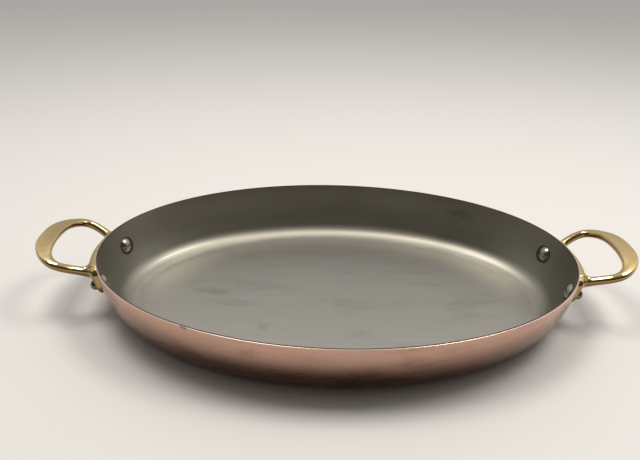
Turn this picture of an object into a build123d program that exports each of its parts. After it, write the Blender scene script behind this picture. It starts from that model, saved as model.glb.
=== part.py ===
"""An oval gratin pan: a copper pan lined with stainless steel, with two cast brass handles riveted on.

Millimetres. X runs along the pan from handle to handle, Y across it and Z up.
The origin is at the middle of the flat base, on the surface that the pan stands on.
"""

import os
from math import sqrt

from build123d import *

# The pan: its outer rim is an ellipse, and its wall bows out from the base and is upright at the rim
rim_length = 350.0
rim_width = 230.0
pan_height = 45.0
wall_lean = 14.7
corner_radius = 18.0
copper_thickness = 1.2
lining_thickness = 0.3

# The rivets: two through each end of the pan, by how far their middles lie below the rim
rivet_spacing = 52.5
rivet_drop = 17.5
shank_diameter = 5.0
inner_head_diameter = 12.0
inner_head_rise = 3.0
outer_head_diameter = 7.6
outer_head_rise = 3.6
head_edge = 0.5

# The foot of each handle: two ears that take the rivets, and a bridge between them
ear_diameter = 14.5
ear_thickness = 4.0
ear_rounding = 2.4
neck_width = 11.0
neck_height = 8.0
head_clearance = 0.4
bridge_thickness = 5.4
bridge_drop = 3.5
bridge_depth = 10.5
bridge_rounding = 2.2

# The loop of each handle, by where its middle line runs: out from the wall on a straight leg,
# round a shoulder and along a cheek to the tip. Drops and rises are from the rim's height
root_inset = 9.0
root_spacing = 40.4
root_drop = 15.0
leg_run = 22.5
leg_spread = 10.2
leg_rise = 11.0
shoulder_run = 21.5
shoulder_spacing = 62.6
shoulder_drop = 0.8
cheek_run = 31.2
cheek_spacing = 45.2
cheek_rise = 2.6
tip_rise = 4.6
handle_reach = 41.8

# The loop's bar: round on the legs, flared where it meets the wall, and a wide hollowed grip
leg_diameter = 6.2
grip_width = 12.6
grip_thickness = 5.8
grip_hollow = 0.5
grip_side_bulge = 0.5
grip_belly = 1.8
grip_start = 0.42
grip_full = 0.9
flare = 2.2
flare_end = 0.3
stations = 25

half_length = rim_length / 2
half_width = rim_width / 2
sheet_thickness = copper_thickness + lining_thickness
rivet_height = pan_height - rivet_drop
bridge_top = pan_height - bridge_drop
bridge_bottom = bridge_top - bridge_depth


def wall_axes(height, inset=0.0):
    """Half axes of the wall at a height, for a face that lies inset behind the outer one.

    The wall is a parabola seen from its side, upright at the rim.
    """
    lean = wall_lean * (1 - height / pan_height) ** 2
    return half_length - lean - inset, half_width - lean - inset


def wall_slope(height):
    """How much the wall leans out at a height, for each millimetre up."""
    return 2 * wall_lean * (1 - height / pan_height) / pan_height


def pan_form(inset):
    """A solid that fills the pan up to its rim, within the face that lies inset behind the outer one."""
    with BuildPart() as form:
        for height in (inset, pan_height / 2, pan_height):
            with BuildSketch(Plane.XY.offset(height)):
                Ellipse(*wall_axes(height, inset))
        loft()
        base_edge = form.faces().sort_by(Axis.Z)[0].edges()
        fillet(base_edge, radius=corner_radius - inset)
    return form.part


def wall_plane(end, across, height):
    """A plane on the outer wall, at the right end for end 1 and the left end for end -1.

    Its Z faces out of the wall and its Y runs up it.
    """
    long_axis, short_axis = wall_axes(height)
    along = end * long_axis * sqrt(1 - (across / short_axis) ** 2)
    rise = -wall_slope(height) * (along**2 / long_axis**3 + across**2 / short_axis**3)
    outwards = Vector(along / long_axis**2, across / short_axis**2, rise).normalized()
    sideways = Vector(-outwards.Y, outwards.X, 0).normalized()
    return Plane(origin=(along, across, height), x_dir=sideways, z_dir=outwards)


rivet_seats = {
    "right_front": wall_plane(1, -rivet_spacing / 2, rivet_height),
    "right_back": wall_plane(1, rivet_spacing / 2, rivet_height),
    "left_front": wall_plane(-1, -rivet_spacing / 2, rivet_height),
    "left_back": wall_plane(-1, rivet_spacing / 2, rivet_height),
}


def shank_form(seat):
    """The part of a rivet that fills its hole, from inside one head to inside the other."""
    with BuildPart() as shank:
        with BuildSketch(seat.offset(-sheet_thickness - head_edge)):
            Circle(shank_diameter / 2)
        extrude(amount=sheet_thickness + ear_thickness + 2 * head_edge)
    return shank.part


def spot_face(seat):
    """The space that a handle leaves clear around a rivet's small head, outside its ear."""
    with BuildPart() as space:
        with BuildSketch(seat.offset(ear_thickness)):
            Circle(outer_head_diameter / 2 + head_clearance)
        extrude(amount=head_edge + outer_head_rise + head_clearance)
    return space.part


outer_form = pan_form(0)
copper_hollow = pan_form(copper_thickness)
lining_hollow = pan_form(sheet_thickness)
shanks = {name: shank_form(seat) for name, seat in rivet_seats.items()}

# The copper shell and its lining share the face between them
with BuildPart() as copper_shell:
    add(outer_form)
    add(copper_hollow, mode=Mode.SUBTRACT)
    add(shanks.values(), mode=Mode.SUBTRACT)

with BuildPart() as steel_lining:
    add(copper_hollow)
    add(lining_hollow, mode=Mode.SUBTRACT)
    add(shanks.values(), mode=Mode.SUBTRACT)


# A Bezier curve that has its two inner points this share of half the chord in from its ends is very
# nearly a quarter of a circle, and those points have this weight at its middle
inner_share = 0.55
middle_weight = 0.75


def blend(leg_value, grip_value, share):
    """A value between the leg's and the grip's."""
    return leg_value + (grip_value - leg_value) * share


def bowed_line(start, end, bow):
    """A curve from start to end that bows out by bow at its middle, to the left of its way."""
    start, end = Vector(start), Vector(end)
    half = (end - start) / 2
    out = Vector(-half.Y, half.X).normalized() * (bow / middle_weight)
    return Bezier(start, start + half * inner_share + out, end - half * inner_share + out, end)


def bar_section(share, size):
    """The bar's outline, seen along it: a circle at share 0, and the grip at share 1.

    Its +X side is the outside of the loop.
    """
    corner = leg_diameter / 2 * sqrt(0.5)
    leg_bow = leg_diameter / 2 - corner
    side = blend(corner, grip_width / 2 - grip_side_bulge, share) * size
    top = blend(corner, grip_thickness / 2, share) * size
    bottom = -blend(corner, grip_thickness / 2 - grip_belly, share) * size
    side_bow = blend(leg_bow, grip_side_bulge, share) * size
    top_bow = blend(leg_bow, -grip_hollow, share) * size
    bottom_bow = blend(leg_bow, grip_belly, share) * size
    with BuildSketch(Plane.XY) as outline:
        with BuildLine():
            bowed_line((side, top), (side, bottom), side_bow)
            bowed_line((side, bottom), (-side, bottom), bottom_bow)
            bowed_line((-side, bottom), (-side, top), side_bow)
            bowed_line((-side, top), (side, top), top_bow)
        make_face()
    return outline.sketch


def share_of_grip(way):
    """How far the bar has turned from leg to grip at a share of the way from the root to the tip."""
    reached = min(max((way - grip_start) / (grip_full - grip_start), 0), 1)
    return reached * reached * (3 - 2 * reached)


def flare_size(way):
    """How much larger the bar is, near the wall, than a plain leg."""
    left = max(1 - way / flare_end, 0)
    return 1 + (flare - 1) * left * left


root = Vector(half_length - root_inset, root_spacing / 2, pan_height - root_drop)
leg_end = root + Vector(leg_run, leg_spread, leg_rise)
shoulder = Vector(half_length + shoulder_run, shoulder_spacing / 2, pan_height - shoulder_drop)
cheek = Vector(half_length + cheek_run, cheek_spacing / 2, pan_height + cheek_rise)
tip = Vector(half_length + handle_reach - grip_width / 2, 0, pan_height + tip_rise)
far_side = [root, (root + leg_end) / 2, leg_end, shoulder, cheek]
near_side = [Vector(point.X, -point.Y, point.Z) for point in reversed(far_side)]
middle_line = Spline(*far_side, tip, *near_side)

# The handle's own loop
with BuildPart() as loop:
    for station in range(stations):
        along = station / (stations - 1)
        way = 1 - abs(2 * along - 1)
        heading = middle_line % along
        outside = heading.cross(Vector(0, 0, -1)).normalized()
        with BuildSketch(Plane(origin=middle_line @ along, x_dir=outside, z_dir=heading)):
            add(bar_section(share_of_grip(way), flare_size(way)))
    loft()

# The bridge hugs the wall between the two legs
with BuildPart() as bridge:
    with BuildSketch(Plane.XY.offset(bridge_bottom)):
        Ellipse(*wall_axes(bridge_bottom, -bridge_thickness))
    with BuildSketch(Plane.XY.offset(bridge_top)):
        Ellipse(*wall_axes(bridge_top, -bridge_thickness))
    loft()
    flat_faces = bridge.faces().filter_by(GeomType.PLANE)
    fillet(flat_faces.edges(), radius=bridge_rounding)
    with BuildSketch(Plane.XY):
        with Locations((half_length, 0)):
            Rectangle(rim_width, rivet_spacing)
    extrude(amount=pan_height, mode=Mode.INTERSECT)


def ear_form(seat):
    """An ear and the neck that joins it to the bridge and the leg, from inside the wall outwards."""
    with BuildPart() as ear:
        with BuildSketch(seat.offset(-ear_thickness)):
            Circle(ear_diameter / 2)
            with Locations((0, neck_height)):
                Circle(neck_width / 2)
            make_hull()
        extrude(amount=2 * ear_thickness)
        outer_face = ear.faces().sort_by(Axis(seat.origin, seat.z_dir))[-1]
        fillet(outer_face.edges(), radius=ear_rounding)
    return ear.part


# The right handle is one casting: loop, bridge and ears, shaped to the wall that it sits on
with BuildPart() as right_handle:
    add(loop.part)
    add(bridge.part)
    add(ear_form(rivet_seats["right_front"]))
    add(ear_form(rivet_seats["right_back"]))
    add(outer_form, mode=Mode.SUBTRACT)
    for place in ("right_front", "right_back"):
        add(shanks[place], mode=Mode.SUBTRACT)
        add(spot_face(rivet_seats[place]), mode=Mode.SUBTRACT)

# The left handle is the same casting, turned end for end
with BuildPart() as left_handle:
    add(right_handle.part.rotate(Axis.Z, 180))


def domed_head(base, foot, brim, crown, diameter):
    """A rivet head on the axis of a plane: flat at the height foot, and domed from brim to crown."""
    radius = diameter / 2
    with BuildPart() as head:
        with BuildSketch(Plane(origin=base.origin, x_dir=base.x_dir, z_dir=-base.y_dir)):
            with BuildLine():
                Polyline((0, crown), (0, foot), (radius, foot), (radius, brim))
                TangentArc((0, crown), (radius, brim), tangent=(1, 0))
            make_face()
        revolve(axis=Axis(base.origin, base.z_dir))
    return head.part


# Each rivet has a broad head seated on the lining, a shank, and a small head on the ear
rivets = {}
for place, seat in rivet_seats.items():
    inwards = Plane(origin=seat.origin, x_dir=seat.x_dir, z_dir=-seat.z_dir)
    brim = sheet_thickness + head_edge
    inner_head = domed_head(inwards, 0, brim, brim + inner_head_rise, inner_head_diameter)
    brim = ear_thickness + head_edge
    outer_head = domed_head(seat, ear_thickness, brim, brim + outer_head_rise, outer_head_diameter)
    with BuildPart() as rivet:
        add(inner_head)
        add(lining_hollow, mode=Mode.INTERSECT)
        add(shanks[place])
        add(outer_head)
    rivets[place] = rivet

os.makedirs("parts", exist_ok=True)

copper_shell.part.label = "copper_shell"
export_step(copper_shell.part, "parts/copper_shell.step")

steel_lining.part.label = "steel_lining"
export_step(steel_lining.part, "parts/steel_lining.step")

right_handle.part.label = "right_handle"
export_step(right_handle.part, "parts/right_handle.step")

left_handle.part.label = "left_handle"
export_step(left_handle.part, "parts/left_handle.step")

for place, rivet in rivets.items():
    rivet.part.label = f"{place}_rivet"
    export_step(rivet.part, f"parts/{place}_rivet.step")
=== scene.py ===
"""Dresses an oval copper gratin pan: sheet, lining, cast handles and rivets, on a pale table."""

from math import cos, pi, radians, sin
from typing import NamedTuple

import bpy
import numpy as np
import openvdb
from bpy.props import FloatProperty, FloatVectorProperty, IntProperty, PointerProperty
from bpy.types import NodeSocket, Operator, Panel, PropertyGroup
from mathutils import Matrix, Vector


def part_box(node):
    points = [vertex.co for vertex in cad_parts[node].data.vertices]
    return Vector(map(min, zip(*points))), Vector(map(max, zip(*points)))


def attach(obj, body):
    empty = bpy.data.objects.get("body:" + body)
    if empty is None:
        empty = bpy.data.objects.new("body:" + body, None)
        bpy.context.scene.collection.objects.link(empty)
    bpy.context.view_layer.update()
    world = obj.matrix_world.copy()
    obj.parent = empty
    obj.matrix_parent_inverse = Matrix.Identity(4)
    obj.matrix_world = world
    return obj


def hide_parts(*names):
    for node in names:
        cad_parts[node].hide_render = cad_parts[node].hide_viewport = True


bl_info = {
    "name": "Oval Gratin Pan",
    "version": (1, 0, 0),
    "blender": (4, 5, 0),
    "location": "3D View > Sidebar > Gratin Pan",
    "description": "Adds a copper gratin pan with a steel lining and brass handles, on a pale table",
    "category": "Add Mesh",
}

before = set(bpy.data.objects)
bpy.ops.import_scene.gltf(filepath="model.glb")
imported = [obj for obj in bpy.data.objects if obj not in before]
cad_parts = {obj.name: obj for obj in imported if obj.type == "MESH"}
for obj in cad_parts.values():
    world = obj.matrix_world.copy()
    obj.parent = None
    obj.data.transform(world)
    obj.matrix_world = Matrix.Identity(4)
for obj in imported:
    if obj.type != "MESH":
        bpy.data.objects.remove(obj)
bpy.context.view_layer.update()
pan_low, pan_high = (Vector(corner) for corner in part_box("copper_shell"))
MM = 0.001


class Mark(NamedTuple):
    """A faint mark: its middle and its reach along each axis, in millimetres, and its strength."""

    centre: tuple
    reach: tuple
    strength: float


# Where painted shade fades in round a rivet head, as a distance from a rivet's axis point: on the lining
# and on an ear; and where an outer head is painted darker.
LINING_SHADE = (7.6 * MM, 6.4 * MM)
EAR_SHADE = (6.2 * MM, 4.2 * MM)
HEAD_DARKENING = (6.0 * MM, 5.0 * MM)

RIM_NICK = Mark((-95, -98, 45), (4, 4, 2.5), 1.0)
# Three marks on the floor left of the middle, and one on the far wall at the right.
STEEL_MARKS = (
    Mark((-97, 3, 1.5), (16, 7, 4), 0.20),
    Mark((-80, -11, 1.5), (22, 7, 4), 0.13),
    Mark((-54, -39, 1.5), (8, 6, 4), 0.17),
    Mark((110, 86, 32), (18, 14, 5), 0.25),
)


# Sizes and colours that can be changed

def length(name, description, default):
    """A size in metres."""
    return FloatProperty(name=name, description=description, default=default, min=0.0, unit="LENGTH")


def position(name, description, default):
    """A place along one axis, in metres."""
    return FloatProperty(name=name, description=description, default=default, unit="LENGTH")


def turn(name, description, degrees):
    """An angle, written in degrees."""
    return FloatProperty(name=name, description=description, default=radians(degrees), unit="ROTATION")


def power(name, description, default):
    """The power of a lamp in watts."""
    return FloatProperty(name=name, description=description, default=default, min=0.0, unit="POWER")


def count(name, description, default):
    """A whole number of steps or passes."""
    return IntProperty(name=name, description=description, default=default, min=1)


def share(name, description, default):
    """A number from 0 to 1."""
    return FloatProperty(
        name=name, description=description, default=default, min=0.0, max=1.0, subtype="FACTOR"
    )


def colour(name, description, default):
    """A colour, written as linear red, green and blue."""
    return FloatVectorProperty(
        name=name, description=description, default=default, size=3, min=0.0, max=1.0, subtype="COLOR"
    )


class PanSizes(PropertyGroup):
    rim_length: length("Rim length", "Length of the rim outside", pan_high.x - pan_low.x)
    rim_width: length("Rim width", "Width of the rim outside", pan_high.y - pan_low.y)
    height: length("Height", "Height of the rim above the table", pan_high.z)
    wall_lean: length("Wall lean", "How far the wall bows out from the base to the rim", 14.7 * MM)
    corner_radius: length("Corner radius", "Outside radius between wall and base", 18 * MM)
    copper: length("Copper", "Thickness of the copper", 1.2 * MM)
    lining: length("Lining", "Thickness of the steel lining", 0.3 * MM)
    copper_edge: length("Copper edge", "Rounding of the copper at the rim", 0.35 * MM)
    lining_edge: length("Lining edge", "Rounding of the steel at the rim", 0.12 * MM)
    rivet_height: length("Rivet height", "Height of the rivets above the table", 27.5 * MM)
    rivet_offset: length("Rivet offset", "From a rivet to the pan's long axis", 26.25 * MM)
    ear_reach: length("Ear reach", "From the lining to the outer face of an ear", 5.5 * MM)
    around: count("Steps around", "Faces around the pan", 384)
    wall_steps: count("Wall steps", "Faces down the wall", 16)
    corner_steps: count("Corner steps", "Faces round the corner between wall and base", 16)
    rim_steps: count("Rim steps", "Faces round an edge of the rim", 4)


class HandleSizes(PropertyGroup):
    grain: length("Grain", "Size of a casting's finest faces", 0.35 * MM)
    fillet: length("Fillet", "Radius that fills a casting's inside corners", 4.5 * MM)
    polish_passes: count("Polish passes", "Smoothing passes over a casting", 4)


class Finishes(PropertyGroup):
    copper: colour("Copper", "Clean copper", (0.565, 0.353, 0.279))
    # Painted highlight: this lighter copper is painted along the outer edge of the rim's top.
    rim_highlight_copper: colour("Bright copper", "Copper worn bright at the rim", (0.82, 0.60, 0.49))
    # Dark brown copper: painted shade towards the base, and the colour of the smudges, the stains and the
    # nick in the rim.
    tarnish_and_shade: colour("Tarnish", "Browned copper", (0.17, 0.085, 0.05))
    # The lining's wall is painted darker than its floor, as painted shade, not a different steel.
    steel: colour("Steel", "Steel on the lining's scoured floor", (0.40, 0.388, 0.358))
    shaded_wall_steel: colour("Wall steel", "Steel on the lining's wall", (0.345, 0.328, 0.276))
    smudged_steel: colour("Smudged steel", "Steel under a smudge", (0.27, 0.262, 0.238))
    # Painted shade round the rivet heads and along the rim's top, the darker outer rivet heads, and the
    # colour of the smudges on the lining.
    grime_and_shade: colour("Grime", "Dirt around the rivets and at the lining's edge", (0.07, 0.05, 0.035))
    brass: colour("Brass", "Polished brass", (0.62, 0.48, 0.235))
    warm_brass: colour("Warm brass", "Polished brass where it is cloudy", (0.62, 0.42, 0.17))
    # Painted shade: brass facing sideways and down is painted this darker brown.
    shaded_brass: colour("Brown brass", "Brass on the sides, less polished", (0.23, 0.135, 0.045))
    rivet: colour("Rivet steel", "Steel of the rivets", (0.44, 0.42, 0.37))
    spotted_rivet: colour("Spotted rivet", "Steel of the rivets where it is spotted", (0.20, 0.18, 0.15))
    copper_roughness: share("Copper roughness", "Roughness of the copper", 0.25)
    steel_roughness: share("Steel roughness", "Roughness of the lining", 0.42)
    brass_roughness: share("Brass roughness", "Roughness of the polished brass", 0.06)
    satin_roughness: share("Satin roughness", "Roughness of the brass on top of a grip", 0.32)
    rivet_roughness: share("Rivet roughness", "Roughness of a rivet where it is shiniest", 0.13)
    # These paint the copper darker and browner towards the base, as painted shade: how far, and from
    # which height to which.
    most_base_shade: share("Most tarnish", "How brown the copper gets towards the base", 0.82)
    base_shade_from: length("Tarnish from", "Height below which the copper browns", 47 * MM)
    base_shade_full: length("Tarnish full", "Height below which the copper is brownest", 14 * MM)


class StageSizes(PropertyGroup):
    floor_colour: colour("Floor", "Colour of the table", (0.80, 0.785, 0.765))
    floor_reach: length("Floor reach", "How far the table runs from the pan", 8.0)
    backdrop: colour("Backdrop", "What the camera sees of the room", (0.46, 0.453, 0.437))
    back_above: colour("Back above", "The room high up behind", (0.70, 0.69, 0.665))
    left_above: colour("Left above", "The room high up at the left", (0.74, 0.729, 0.703))
    right_below: colour("Right below", "The room low down at the right", (0.68, 0.67, 0.646))
    right_above: colour("Right above", "The room high up at the right", (1.0, 0.985, 0.95))
    front_below: colour("Front below", "The room low down in front", (0.065, 0.06, 0.053))
    front_above: colour("Front above", "The room high up in front", (0.085, 0.08, 0.072))
    box_tint: colour("Box tint", "Colour of the soft boxes", (1.0, 0.96, 0.90))
    box_width: length("Box width", "Size of a soft box along the pan", 0.44)
    box_depth: length("Box depth", "Size of a soft box across the pan", 0.42)
    box_height: length("Box height", "Height of the soft boxes above the table", 1.05)
    box_behind: position("Box behind", "How far behind the pan's middle the soft boxes hang", 0.10)
    box_aim: position("Box aim", "How far behind the pan's middle the soft boxes point", 0.08)
    left_box: position("Left box", "Place of the left soft box along the pan", -0.28)
    right_box: position("Right box", "Place of the right soft box along the pan", 0.54)
    left_power: power("Left power", "Power of the left soft box", 4.9)
    right_power: power("Right power", "Power of the right soft box", 5.2)
    camera_distance: length("Camera distance", "From the camera to its aim point", 534 * MM)
    camera_pitch: turn("Camera pitch", "How far the camera looks down", 28.3)
    camera_azimuth: turn("Camera azimuth", "Turn of the camera about the pan", -0.8)
    camera_roll: turn("Camera roll", "Tilt of the camera to one side", 1.6)
    camera_lens: FloatProperty(
        name="Camera lens", description="Focal length in millimetres", default=31.5, unit="CAMERA"
    )
    aim_x: position("Aim X", "The camera's aim point along the pan", -12.0 * MM)
    aim_y: position("Aim Y", "The camera's aim point across the pan", 110.3 * MM)


# The pan's wall

def wall_axes(sizes, inset, height):
    """Half axes of the wall at a height, on the face that lies inset behind the outer one."""
    lean = sizes.wall_lean * (1 - height / sizes.height) ** 2
    return sizes.rim_length / 2 - lean - inset, sizes.rim_width / 2 - lean - inset


def ring(sizes, angles, inset, height):
    """Points around the wall at a height, on the face that lies inset behind the outer one."""
    long_axis, short_axis = wall_axes(sizes, inset, height)
    heights = np.broadcast_to(height, angles.shape)
    return np.stack([long_axis * np.cos(angles), short_axis * np.sin(angles), heights], axis=1)


def wall_normals(sizes, angles, inset, height):
    """Unit normals out of the wall at points given as for ring."""
    long_axis, short_axis = wall_axes(sizes, inset, height)
    slope = 2 * sizes.wall_lean * (1 - height / sizes.height) / sizes.height
    along = short_axis * np.cos(angles)
    across = long_axis * np.sin(angles)
    down = -slope * (long_axis * np.sin(angles) ** 2 + short_axis * np.cos(angles) ** 2)
    normals = np.stack([along, across, down], axis=1)
    return normals / np.linalg.norm(normals, axis=1, keepdims=True)


def rivet_place(sizes, reach):
    """A point on the axis of the right handle's back rivet, a reach outwards from the lining."""
    inset, height = sizes.copper + sizes.lining, sizes.rivet_height
    angle = np.arcsin([sizes.rivet_offset / wall_axes(sizes, inset, height)[1]])
    outwards = wall_normals(sizes, angle, inset, height)
    return (ring(sizes, angle, inset, height) + reach * outwards)[0]


# Shader nodes

def feed(tree, socket, value):
    """Link a socket from another one, or give it a value."""
    if isinstance(value, NodeSocket):
        tree.links.new(value, socket)
    else:
        socket.default_value = value


def add_node(tree, kind, inputs=None, **settings):
    """Add a shader node. An input is given by name or number, as a value or as a socket to link from."""
    node = tree.nodes.new(kind)
    for name, value in settings.items():
        setattr(node, name, value)
    for key, value in (inputs or {}).items():
        feed(tree, node.inputs[key], value)
    return node


def math_node(tree, operation, first, second, clamp=True):
    """The result of one sum on two values or sockets, kept between 0 and 1 unless clamp is off."""
    inputs = {0: first, 1: second}
    return add_node(tree, "ShaderNodeMath", inputs, operation=operation, use_clamp=clamp).outputs[0]


def vector_node(tree, operation, *operands):
    """The result of one sum on vectors: a number for a length or a distance, and else a vector."""
    inputs = dict(enumerate(operands))
    outputs = add_node(tree, "ShaderNodeVectorMath", inputs, operation=operation).outputs
    return outputs["Value" if operation in ("LENGTH", "DISTANCE") else "Vector"]


def object_place(tree):
    """The shaded point, in the object's own metres."""
    return add_node(tree, "ShaderNodeTexCoord").outputs["Object"]


def axis_part(tree, vector, axis):
    """A vector's part along one axis."""
    return add_node(tree, "ShaderNodeSeparateXYZ", {0: vector}).outputs[axis]


def upness(tree):
    """How far the surface faces up: 1 for a floor, 0 for an upright wall and -1 for an underside."""
    return axis_part(tree, add_node(tree, "ShaderNodeTexCoord").outputs["Normal"], "Z")


def streaks(tree, scale, detail=3.0, roughness=0.5):
    """Noise in the object's own metres, stretched by a scale for each axis."""
    mapping = add_node(tree, "ShaderNodeMapping", {"Vector": object_place(tree), "Scale": scale})
    inputs = {"Vector": mapping.outputs[0], "Scale": 1.0, "Detail": detail, "Roughness": roughness}
    return add_node(tree, "ShaderNodeTexNoise", inputs).outputs["Fac"]


def ramp(tree, value, start, end, out_start=0.0, out_end=1.0):
    """A value carried from one range to another, easing in and out, and held at the ends."""
    inputs = {"Value": value, "From Min": start, "From Max": end, "To Min": out_start, "To Max": out_end}
    return add_node(tree, "ShaderNodeMapRange", inputs, interpolation_type="SMOOTHSTEP").outputs["Result"]


def varied(tree, noise, low, high):
    """A number that noise moves between two, over the range where most of its values lie."""
    return ramp(tree, noise, 0.3, 0.7, low, high)


def mix_value(tree, factor, first, second):
    """A number between two."""
    return add_node(tree, "ShaderNodeMix", {"Factor": factor, "A": first, "B": second}).outputs["Result"]


def mix_colour(tree, factor, first, second):
    """A colour between two, each a socket or a written colour."""
    node = add_node(tree, "ShaderNodeMix", {"Factor": factor}, data_type="RGBA")
    sockets = [socket for socket in node.inputs if socket.type == "RGBA"]
    for socket, value in zip(sockets, (first, second)):
        feed(tree, socket, value if isinstance(value, NodeSocket) else (*value, 1.0))
    return next(socket for socket in node.outputs if socket.type == "RGBA")


def patch(tree, mark):
    """A mark's strength at the shaded point: it fades out about its reach, with uneven edges."""
    offset = vector_node(tree, "SUBTRACT", object_place(tree), Vector(mark.centre) * MM)
    gap = vector_node(tree, "LENGTH", vector_node(tree, "DIVIDE", offset, Vector(mark.reach) * MM))
    edge_noise = streaks(tree, (90, 380, 200), detail=4, roughness=0.6)
    ragged = ramp(tree, edge_noise, 0.35, 0.65, -0.35, 0.35)
    ragged_gap = math_node(tree, "ADD", gap, ragged, clamp=False)
    return ramp(tree, ragged_gap, 1.1, 0.1, 0.0, mark.strength)


def from_rivets(tree, reach):
    """How far a point lies from the nearest rivet's axis point, a reach outwards from the lining."""
    quarter = vector_node(tree, "ABSOLUTE", object_place(tree))
    return vector_node(tree, "DISTANCE", quarter, rivet_place(bpy.context.scene.gratin_pan, reach))


def metal(name):
    """A new metallic material, with its node tree and its shader."""
    material = bpy.data.materials.new(name)
    material.use_nodes = True
    tree = material.node_tree
    shader = tree.nodes["Principled BSDF"]
    shader.inputs["Metallic"].default_value = 1.0
    return material, tree, shader


def surface(tree, shader, base, roughness, relief, depth, strength):
    """Give a shader its colour, its roughness, and a relief of a depth in metres."""
    bump = add_node(tree, "ShaderNodeBump", {"Height": relief, "Distance": depth, "Strength": strength})
    feed(tree, shader.inputs["Base Color"], base)
    feed(tree, shader.inputs["Roughness"], roughness)
    feed(tree, shader.inputs["Normal"], bump.outputs["Normal"])


# Finishes

def copper_finish(finishes):
    """Satin copper, wiped along the wall, smudged, painted darker and browner towards the base as painted
    shade, with a painted highlight along the outer edge of the rim's top and painted shade along its
    inner edge.
    """
    sizes = bpy.context.scene.gratin_pan
    material, tree, shader = metal("satin_copper")
    place = object_place(tree)
    height = axis_part(tree, place, "Z")
    wiped = streaks(tree, (9, 9, 900), detail=4)
    clouds = streaks(tree, (22, 22, 60), detail=5, roughness=0.6)
    spots = streaks(tree, (150, 150, 220), detail=2)

    # Painted shade: the copper is painted darker and browner towards the base, at a height that wavers a
    # little.
    waver = ramp(tree, clouds, 0.2, 0.8, -4 * MM, 4 * MM)
    wavy_height = math_node(tree, "ADD", height, waver)
    base_shade = ramp(
        tree, wavy_height, finishes.base_shade_from, finishes.base_shade_full, 0.0, finishes.most_base_shade
    )
    smudge = ramp(tree, clouds, 0.46, 0.72)
    stain = math_node(tree, "MULTIPLY", ramp(tree, spots, 0.62, 0.74, 0.0, 0.3), smudge)
    faint_smudge = math_node(tree, "MULTIPLY", smudge, 0.4)
    marks = math_node(tree, "ADD", faint_smudge, stain)
    brown = math_node(tree, "ADD", base_shade, marks)
    body = mix_colour(tree, brown, finishes.copper, finishes.tarnish_and_shade)

    # Painted highlight along the outer edge of the rim's top, and painted shade along its inner edge.
    to_unit_rim = (2 / sizes.rim_length, 2 / sizes.rim_width, 0)
    outness = vector_node(tree, "LENGTH", vector_node(tree, "MULTIPLY", place, to_unit_rim))
    near_outside = ramp(tree, outness, 0.9925, 0.9975)
    edge = mix_colour(tree, near_outside, finishes.grime_and_shade, finishes.rim_highlight_copper)
    edge_foot, edge_top = sizes.height - 0.7 * MM, sizes.height - 0.2 * MM
    on_rim = ramp(tree, height, edge_foot, edge_top)
    rimmed = mix_colour(tree, on_rim, body, edge)
    nicked = mix_colour(tree, patch(tree, RIM_NICK), rimmed, finishes.tarnish_and_shade)

    roughness = finishes.copper_roughness
    rough = varied(tree, wiped, roughness - 0.04, roughness + 0.05)
    surface(tree, shader, nicked, rough, wiped, depth=0.02 * MM, strength=0.5)
    return material


def steel_finish(finishes):
    """Brushed steel: fine lines along the floor and around the wall, with a few soft smudges; the wall is
    painted darker than the floor, and a dark line along the top edge and rings round the rivet heads are
    painted shade.
    """
    material, tree, shader = metal("brushed_steel")
    on_floor = ramp(tree, upness(tree), 0.9, 0.99)
    along = streaks(tree, (8, 1500, 1), detail=3)
    around = streaks(tree, (12, 12, 1500), detail=3)
    lines = mix_value(tree, on_floor, around, along)

    # Painted shade: the wall is painted darker than the floor.
    clean = mix_colour(tree, on_floor, finishes.shaded_wall_steel, finishes.steel)
    smudge = ramp(tree, streaks(tree, (14, 42, 26), detail=4, roughness=0.55), 0.5, 0.72, 0.0, 0.4)
    marked = mix_colour(tree, smudge, clean, finishes.smudged_steel)
    for mark in STEEL_MARKS:
        marked = mix_colour(tree, patch(tree, mark), marked, finishes.grime_and_shade)

    # Painted shade: a dark line along the lining's top edge, and a dark ring round each rivet head.
    rim_height = bpy.context.scene.gratin_pan.height
    height = axis_part(tree, object_place(tree), "Z")
    line_foot, line_top = rim_height - 0.5 * MM, rim_height - 0.2 * MM
    at_rim = ramp(tree, height, line_foot, line_top)
    around_heads = ramp(tree, from_rivets(tree, 0.0), *LINING_SHADE)
    painted_shade = math_node(tree, "MAXIMUM", around_heads, at_rim)
    shade_painted = mix_colour(tree, painted_shade, marked, finishes.grime_and_shade)

    roughness = finishes.steel_roughness
    rough = varied(tree, lines, roughness - 0.04, roughness + 0.04)
    surface(tree, shader, shade_painted, rough, lines, depth=0.02 * MM, strength=0.5)
    return material


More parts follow.
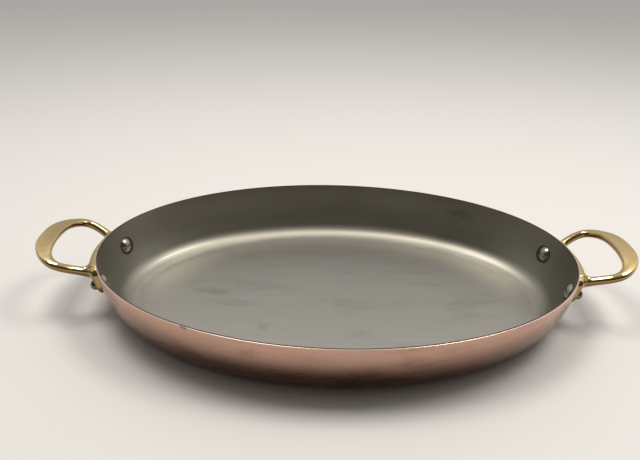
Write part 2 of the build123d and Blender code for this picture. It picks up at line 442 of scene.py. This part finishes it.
def brass_finish(finishes):
    """Cast brass: polished round the bar, satin on top of the grip, with painted shade making it brown on
    the sides and underneath, and in a ring round each outer rivet head.
    """
    material, tree, shader = metal("cast_brass")
    facing_up = upness(tree)
    clouds = streaks(tree, (90, 90, 90), detail=4)
    cloudiness = ramp(tree, clouds, 0.4, 0.75, 0.0, 0.4)
    cloudy = mix_colour(tree, cloudiness, finishes.brass, finishes.warm_brass)
    # Painted shade: faces that turn from up to sideways and down are painted darker brown.
    brown = ramp(tree, facing_up, 0.5, -0.1, 0.0, 0.95)
    side_shaded = mix_colour(tree, brown, cloudy, finishes.shaded_brass)
    # Painted shade: a dark ring where each outer rivet head meets its ear.
    gap = from_rivets(tree, bpy.context.scene.gratin_pan.ear_reach)
    around_head = ramp(tree, gap, *EAR_SHADE, 0.0, 0.85)
    shade_painted = mix_colour(tree, around_head, side_shaded, finishes.grime_and_shade)

    roughness = finishes.brass_roughness
    polish = varied(tree, clouds, roughness - 0.02, roughness + 0.05)
    on_top = ramp(tree, facing_up, 0.88, 0.98)
    rough = mix_value(tree, on_top, polish, finishes.satin_roughness)
    skin = streaks(tree, (400, 400, 400), detail=2)
    surface(tree, shader, shade_painted, rough, skin, depth=0.03 * MM, strength=0.2)
    return material


def rivet_finish(finishes):
    """Spotted satin steel, painted darker on the outer heads."""
    material, tree, shader = metal("turned_steel")
    clouds = streaks(tree, (300, 300, 300), detail=3)
    spots = ramp(tree, clouds, 0.4, 0.7, 0.0, 0.4)
    spotted = mix_colour(tree, spots, finishes.rivet, finishes.spotted_rivet)
    # The outer heads are painted darker.
    gap = from_rivets(tree, bpy.context.scene.gratin_pan.ear_reach)
    on_outer_head = ramp(tree, gap, *HEAD_DARKENING, 0.0, 0.7)
    darkened = mix_colour(tree, on_outer_head, spotted, finishes.grime_and_shade)

    roughness = finishes.rivet_roughness
    rough = varied(tree, clouds, roughness, roughness + 0.09)
    skin = streaks(tree, (700, 700, 700), detail=2)
    surface(tree, shader, darkened, rough, skin, depth=0.03 * MM, strength=0.3)
    return material


MAKERS = {
    "satin_copper": copper_finish,
    "brushed_steel": steel_finish,
    "cast_brass": brass_finish,
    "turned_steel": rivet_finish,
}


def finish(name):
    """One of the finishes, made the first time that it is asked for."""
    return bpy.data.materials.get(name) or MAKERS[name](bpy.context.scene.gratin_finishes)


# The sheet

def steps_around(sizes):
    """Angles in even steps around the pan."""
    return np.linspace(0, 2 * pi, sizes.around, endpoint=False)


def quarter_turns(steps):
    """Angles in even steps through a right angle."""
    return [step / steps * pi / 2 for step in range(steps + 1)]


def face_rings(sizes, angles, inset, top):
    """Rings down one face of the sheet, from the height top: wall, rounded corner and floor."""
    radius = sizes.corner_radius - inset
    foot = np.full(angles.shape, radius)
    settling_rounds = 6
    for _ in range(settling_rounds):
        foot = inset + radius + radius * wall_normals(sizes, angles, inset, foot)[:, 2]
    rings = []
    for step in range(sizes.wall_steps):
        height = top + (foot - top) * step / sizes.wall_steps
        rings.append(ring(sizes, angles, inset, height))

    out = wall_normals(sizes, angles, inset, foot)
    centres = ring(sizes, angles, inset, foot) - radius * out
    whole_turn = np.arccos(-out[:, 2])
    down = np.array([0.0, 0.0, -1.0])
    for step in range(sizes.corner_steps + 1):
        way = step / sizes.corner_steps
        from_out = (np.sin((1 - way) * whole_turn) / np.sin(whole_turn))[:, None]
        from_down = (np.sin(way * whole_turn) / np.sin(whole_turn))[:, None]
        rings.append(centres + radius * (from_out * out + from_down * down))

    floor_edge = rings[-1]
    for part in (0.97, 0.85, 0.7, 0.55, 0.4, 0.25, 0.1):
        rings.append(floor_edge * (part, part, 1))
    return rings


def closed_sheet(name, rings, low_centre, high_centre):
    """A closed mesh from rings that run from one middle over the rim to the other middle."""
    steps = len(rings[0])
    points = [tuple(point) for row in rings for point in row]
    points += [low_centre, high_centre]
    low, high = len(points) - 2, len(points) - 1
    last = (len(rings) - 1) * steps
    faces = []
    for start in range(0, last, steps):
        for step in range(steps):
            first, second = start + step, start + (step + 1) % steps
            faces.append((first, second, second + steps, first + steps))
    for step in range(steps):
        following = (step + 1) % steps
        faces.append((low, following, step))
        faces.append((high, last + step, last + following))
    mesh = bpy.data.meshes.new(name)
    mesh.from_pydata(points, [], faces)
    mesh.shade_smooth()
    return mesh


def add_piece(name, mesh, material, slot_name, *nodes):
    """Show a mesh as a piece of the pan in place of its CAD nodes."""
    mesh.materials.clear()
    mesh.materials.append(material)
    piece = bpy.data.objects.new(name, mesh)
    bpy.context.scene.collection.objects.link(piece)
    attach(piece, "root")
    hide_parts(*nodes)


class GRATIN_OT_copper_shell(Operator):
    """Add the copper shell, from its base up to the rounded rim."""

    bl_idname = "gratin.copper_shell"
    bl_label = "Add Copper Shell"

    def execute(self, context):
        sizes = context.scene.gratin_pan
        angles = steps_around(sizes)
        edge = sizes.copper_edge
        outside = face_rings(sizes, angles, 0.0, sizes.height - 2 * edge)
        inside = face_rings(sizes, angles, sizes.copper, sizes.height)
        rim = []
        for way in quarter_turns(sizes.rim_steps):
            height = sizes.height - edge + edge * sin(way)
            rim.append(ring(sizes, angles, edge * (1 - cos(way)), height))
        rim.append(ring(sizes, angles, sizes.copper - edge / 2, sizes.height))
        rings = outside[::-1] + rim + inside
        mesh = closed_sheet("copper_body", rings, (0, 0, 0), (0, 0, sizes.copper))
        add_piece("copper_body", mesh, finish("satin_copper"), "copper", "copper_shell")
        return {"FINISHED"}


class GRATIN_OT_steel_lining(Operator):
    """Add the steel lining, bonded inside the copper."""

    bl_idname = "gratin.steel_lining"
    bl_label = "Add Steel Lining"

    def execute(self, context):
        sizes = context.scene.gratin_pan
        angles = steps_around(sizes)
        edge = sizes.lining_edge
        sheet = sizes.copper + sizes.lining
        outside = face_rings(sizes, angles, sizes.copper, sizes.height)
        inside = face_rings(sizes, angles, sheet, sizes.height - 2 * edge)
        rim = []
        for way in quarter_turns(sizes.rim_steps):
            height = sizes.height - edge + edge * cos(way)
            rim.append(ring(sizes, angles, sheet - edge * (1 - sin(way)), height))
        rings = outside[::-1] + rim + inside
        mesh = closed_sheet("steel_inside", rings, (0, 0, sizes.copper), (0, 0, sheet))
        add_piece("steel_inside", mesh, finish("brushed_steel"), "lining_steel", "steel_lining")
        return {"FINISHED"}


# The castings and the rivets

def offset_surface(points, faces, reach, grain):
    """The surface that lies a reach outside a closed one, or inside it if the reach is negative."""
    kind = {3: "triangles", 4: "quads"}[faces.shape[1]]
    cells = openvdb.createLinearTransform(voxelSize=grain)
    spare_cells = 3
    half_width = abs(reach) / grain + spare_cells
    grid = openvdb.FloatGrid.createLevelSetFromPolygons(
        points, **{kind: faces}, transform=cells, halfWidth=half_width
    )
    return grid.convertToQuads(isovalue=reach)


def cast_mesh(node, sizes):
    """The form of a CAD handle with its inside corners filled, as a casting's are."""
    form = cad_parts[node].data
    form.calc_loop_triangles()
    points = np.empty(len(form.vertices) * 3, dtype=np.float32)
    form.vertices.foreach_get("co", points)
    faces = np.empty(len(form.loop_triangles) * 3, dtype=np.uint32)
    form.loop_triangles.foreach_get("vertices", faces)
    grown = offset_surface(points.reshape(-1, 3), faces.reshape(-1, 3), sizes.fillet, sizes.grain)
    points, faces = offset_surface(*grown, -sizes.fillet, sizes.grain)
    mesh = bpy.data.meshes.new(node + "_form")
    mesh.from_pydata(points.tolist(), [], faces[:, ::-1].tolist())
    return polished(mesh, sizes.polish_passes)


def polished(mesh, passes):
    """A smoothed copy of a mesh."""
    shape = bpy.data.objects.new(mesh.name, mesh)
    bpy.context.scene.collection.objects.link(shape)
    change = shape.modifiers.new("polish", "SMOOTH")
    change.iterations = passes
    smooth = bpy.data.meshes.new_from_object(shape.evaluated_get(bpy.context.evaluated_depsgraph_get()))
    bpy.data.objects.remove(shape)
    smooth.shade_smooth()
    return smooth


class GRATIN_OT_handles(Operator):
    """Add the two cast brass handles."""

    bl_idname = "gratin.handles"
    bl_label = "Add Handles"

    def execute(self, context):
        right = cast_mesh("right_handle", context.scene.gratin_handles)
        left = right.copy()
        left.transform(Matrix.Rotation(pi, 4, "Z"))
        for side, mesh in (("right", right), ("left", left)):
            add_piece(side + "_casting", mesh, finish("cast_brass"), "handle_brass", side + "_handle")
        return {"FINISHED"}


class GRATIN_OT_rivets(Operator):
    """Finish the four rivets in satin steel."""

    bl_idname = "gratin.rivets"
    bl_label = "Finish Rivets"

    def execute(self, context):
        for name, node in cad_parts.items():
            if name.endswith("rivet"):
                for slot in node.material_slots:
                    slot.material = finish("turned_steel")
        return {"FINISHED"}


# The stage

def add_table(context, stage):
    """A table of plain pale paper."""
    material = bpy.data.materials.new("table")
    material.use_nodes = True
    shader = material.node_tree.nodes["Principled BSDF"]
    shader.inputs["Base Color"].default_value = (*stage.floor_colour, 1.0)
    shader.inputs["Roughness"].default_value = 0.6
    shader.inputs["Specular IOR Level"].default_value = 0.2
    reach = stage.floor_reach
    corners = [(-reach, -reach, 0), (reach, -reach, 0), (reach, reach, 0), (-reach, reach, 0)]
    mesh = bpy.data.meshes.new("table")
    mesh.from_pydata(corners, [], [(0, 1, 2, 3)])
    mesh.materials.append(material)
    table = bpy.data.objects.new("table", mesh)
    context.scene.collection.objects.link(table)


def add_soft_box(context, stage, name, along, watts):
    """A soft box that hangs at a place along the pan and points at the table below."""
    data = bpy.data.lights.new(name, "AREA")
    data.shape = "RECTANGLE"
    data.size = stage.box_width
    data.size_y = stage.box_depth
    data.energy = watts
    data.color = stage.box_tint
    lamp = bpy.data.objects.new(name, data)
    lamp.location = (along, stage.box_behind, stage.box_height)
    aim = Vector((along, stage.box_aim, 0))
    lamp.rotation_mode = "QUATERNION"
    lamp.rotation_quaternion = (aim - lamp.location).to_track_quat("-Z", "Y")
    context.scene.collection.objects.link(lamp)


def light_room(context, stage):
    """A room that is pale behind and at the sides and dark in front, seen as a plain backdrop.

    Low down behind and at the left, it has the backdrop's own colour.
    """
    world = bpy.data.worlds.new("room")
    context.scene.world = world
    world.use_nodes = True
    tree = world.node_tree
    direction = add_node(tree, "ShaderNodeTexCoord").outputs["Generated"]
    parts = add_node(tree, "ShaderNodeSeparateXYZ", {0: direction}).outputs
    above = ramp(tree, parts["Z"], 0.35, 0.75)
    front = mix_colour(tree, above, stage.front_below, stage.front_above)
    back = mix_colour(tree, above, stage.backdrop, stage.back_above)
    left = mix_colour(tree, above, stage.backdrop, stage.left_above)
    right = mix_colour(tree, above, stage.right_below, stage.right_above)
    room = mix_colour(tree, ramp(tree, parts["X"], -0.2, -0.6), back, left)
    room = mix_colour(tree, ramp(tree, parts["X"], 0.2, 0.6), room, right)
    room = mix_colour(tree, ramp(tree, parts["Y"], -0.5, 0.2), front, room)
    seen = add_node(tree, "ShaderNodeLightPath").outputs["Is Camera Ray"]
    light = mix_colour(tree, seen, room, stage.backdrop)
    feed(tree, tree.nodes["Background"].inputs["Color"], light)


def add_camera(context, stage):
    """A camera where the photographer stood."""
    data = bpy.data.cameras.new("camera")
    data.lens = stage.camera_lens
    data.sensor_width = 36.0
    data.clip_start = 0.01
    camera = bpy.data.objects.new("camera", data)
    azimuth, pitch, roll = stage.camera_azimuth, stage.camera_pitch, stage.camera_roll
    back = Vector((sin(azimuth) * cos(pitch), -cos(azimuth) * cos(pitch), sin(pitch)))
    level_right = Vector((cos(azimuth), sin(azimuth), 0))
    level_up = back.cross(level_right)
    right = cos(roll) * level_right + sin(roll) * level_up
    up = cos(roll) * level_up - sin(roll) * level_right
    camera.matrix_world = Matrix((right, up, back)).transposed().to_4x4()
    camera.location = Vector((stage.aim_x, stage.aim_y, 0)) + back * stage.camera_distance
    context.scene.collection.objects.link(camera)
    context.scene.camera = camera


class GRATIN_OT_stage(Operator):
    """Add the table, the room's light, two soft boxes and the camera."""

    bl_idname = "gratin.stage"
    bl_label = "Add Stage"

    def execute(self, context):
        stage = context.scene.gratin_stage
        add_table(context, stage)
        light_room(context, stage)
        add_soft_box(context, stage, "left_box", stage.left_box, stage.left_power)
        add_soft_box(context, stage, "right_box", stage.right_box, stage.right_power)
        add_camera(context, stage)
        context.scene.view_settings.view_transform = "Standard"
        return {"FINISHED"}


class GRATIN_PT_sidebar(Panel):
    """The pan's sizes, finishes and pieces."""

    bl_idname = "GRATIN_PT_sidebar"
    bl_label = "Gratin Pan"
    bl_space_type = "VIEW_3D"
    bl_region_type = "UI"
    bl_category = "Gratin Pan"

    def draw(self, context):
        for group_name in GROUPS:
            group = getattr(context.scene, group_name)
            box = self.layout.box()
            for name in group.__annotations__:
                box.prop(group, name)
        for operator in OPERATORS:
            self.layout.operator(operator.bl_idname)


GROUPS = {
    "gratin_pan": PanSizes,
    "gratin_handles": HandleSizes,
    "gratin_finishes": Finishes,
    "gratin_stage": StageSizes,
}
OPERATORS = (
    GRATIN_OT_copper_shell,
    GRATIN_OT_steel_lining,
    GRATIN_OT_handles,
    GRATIN_OT_rivets,
    GRATIN_OT_stage,
)


def register():
    for cls in (*GROUPS.values(), *OPERATORS, GRATIN_PT_sidebar):
        bpy.utils.register_class(cls)
    for name, group in GROUPS.items():
        setattr(bpy.types.Scene, name, PointerProperty(type=group))


def unregister():
    for name in GROUPS:
        delattr(bpy.types.Scene, name)
    for cls in (GRATIN_PT_sidebar, *reversed(OPERATORS), *reversed(GROUPS.values())):
        bpy.utils.unregister_class(cls)


def main():
    register()
    bpy.ops.gratin.copper_shell()
    bpy.ops.gratin.steel_lining()
    bpy.ops.gratin.handles()
    bpy.ops.gratin.rivets()
    bpy.ops.gratin.stage()


if __name__ == "__main__":
    main()
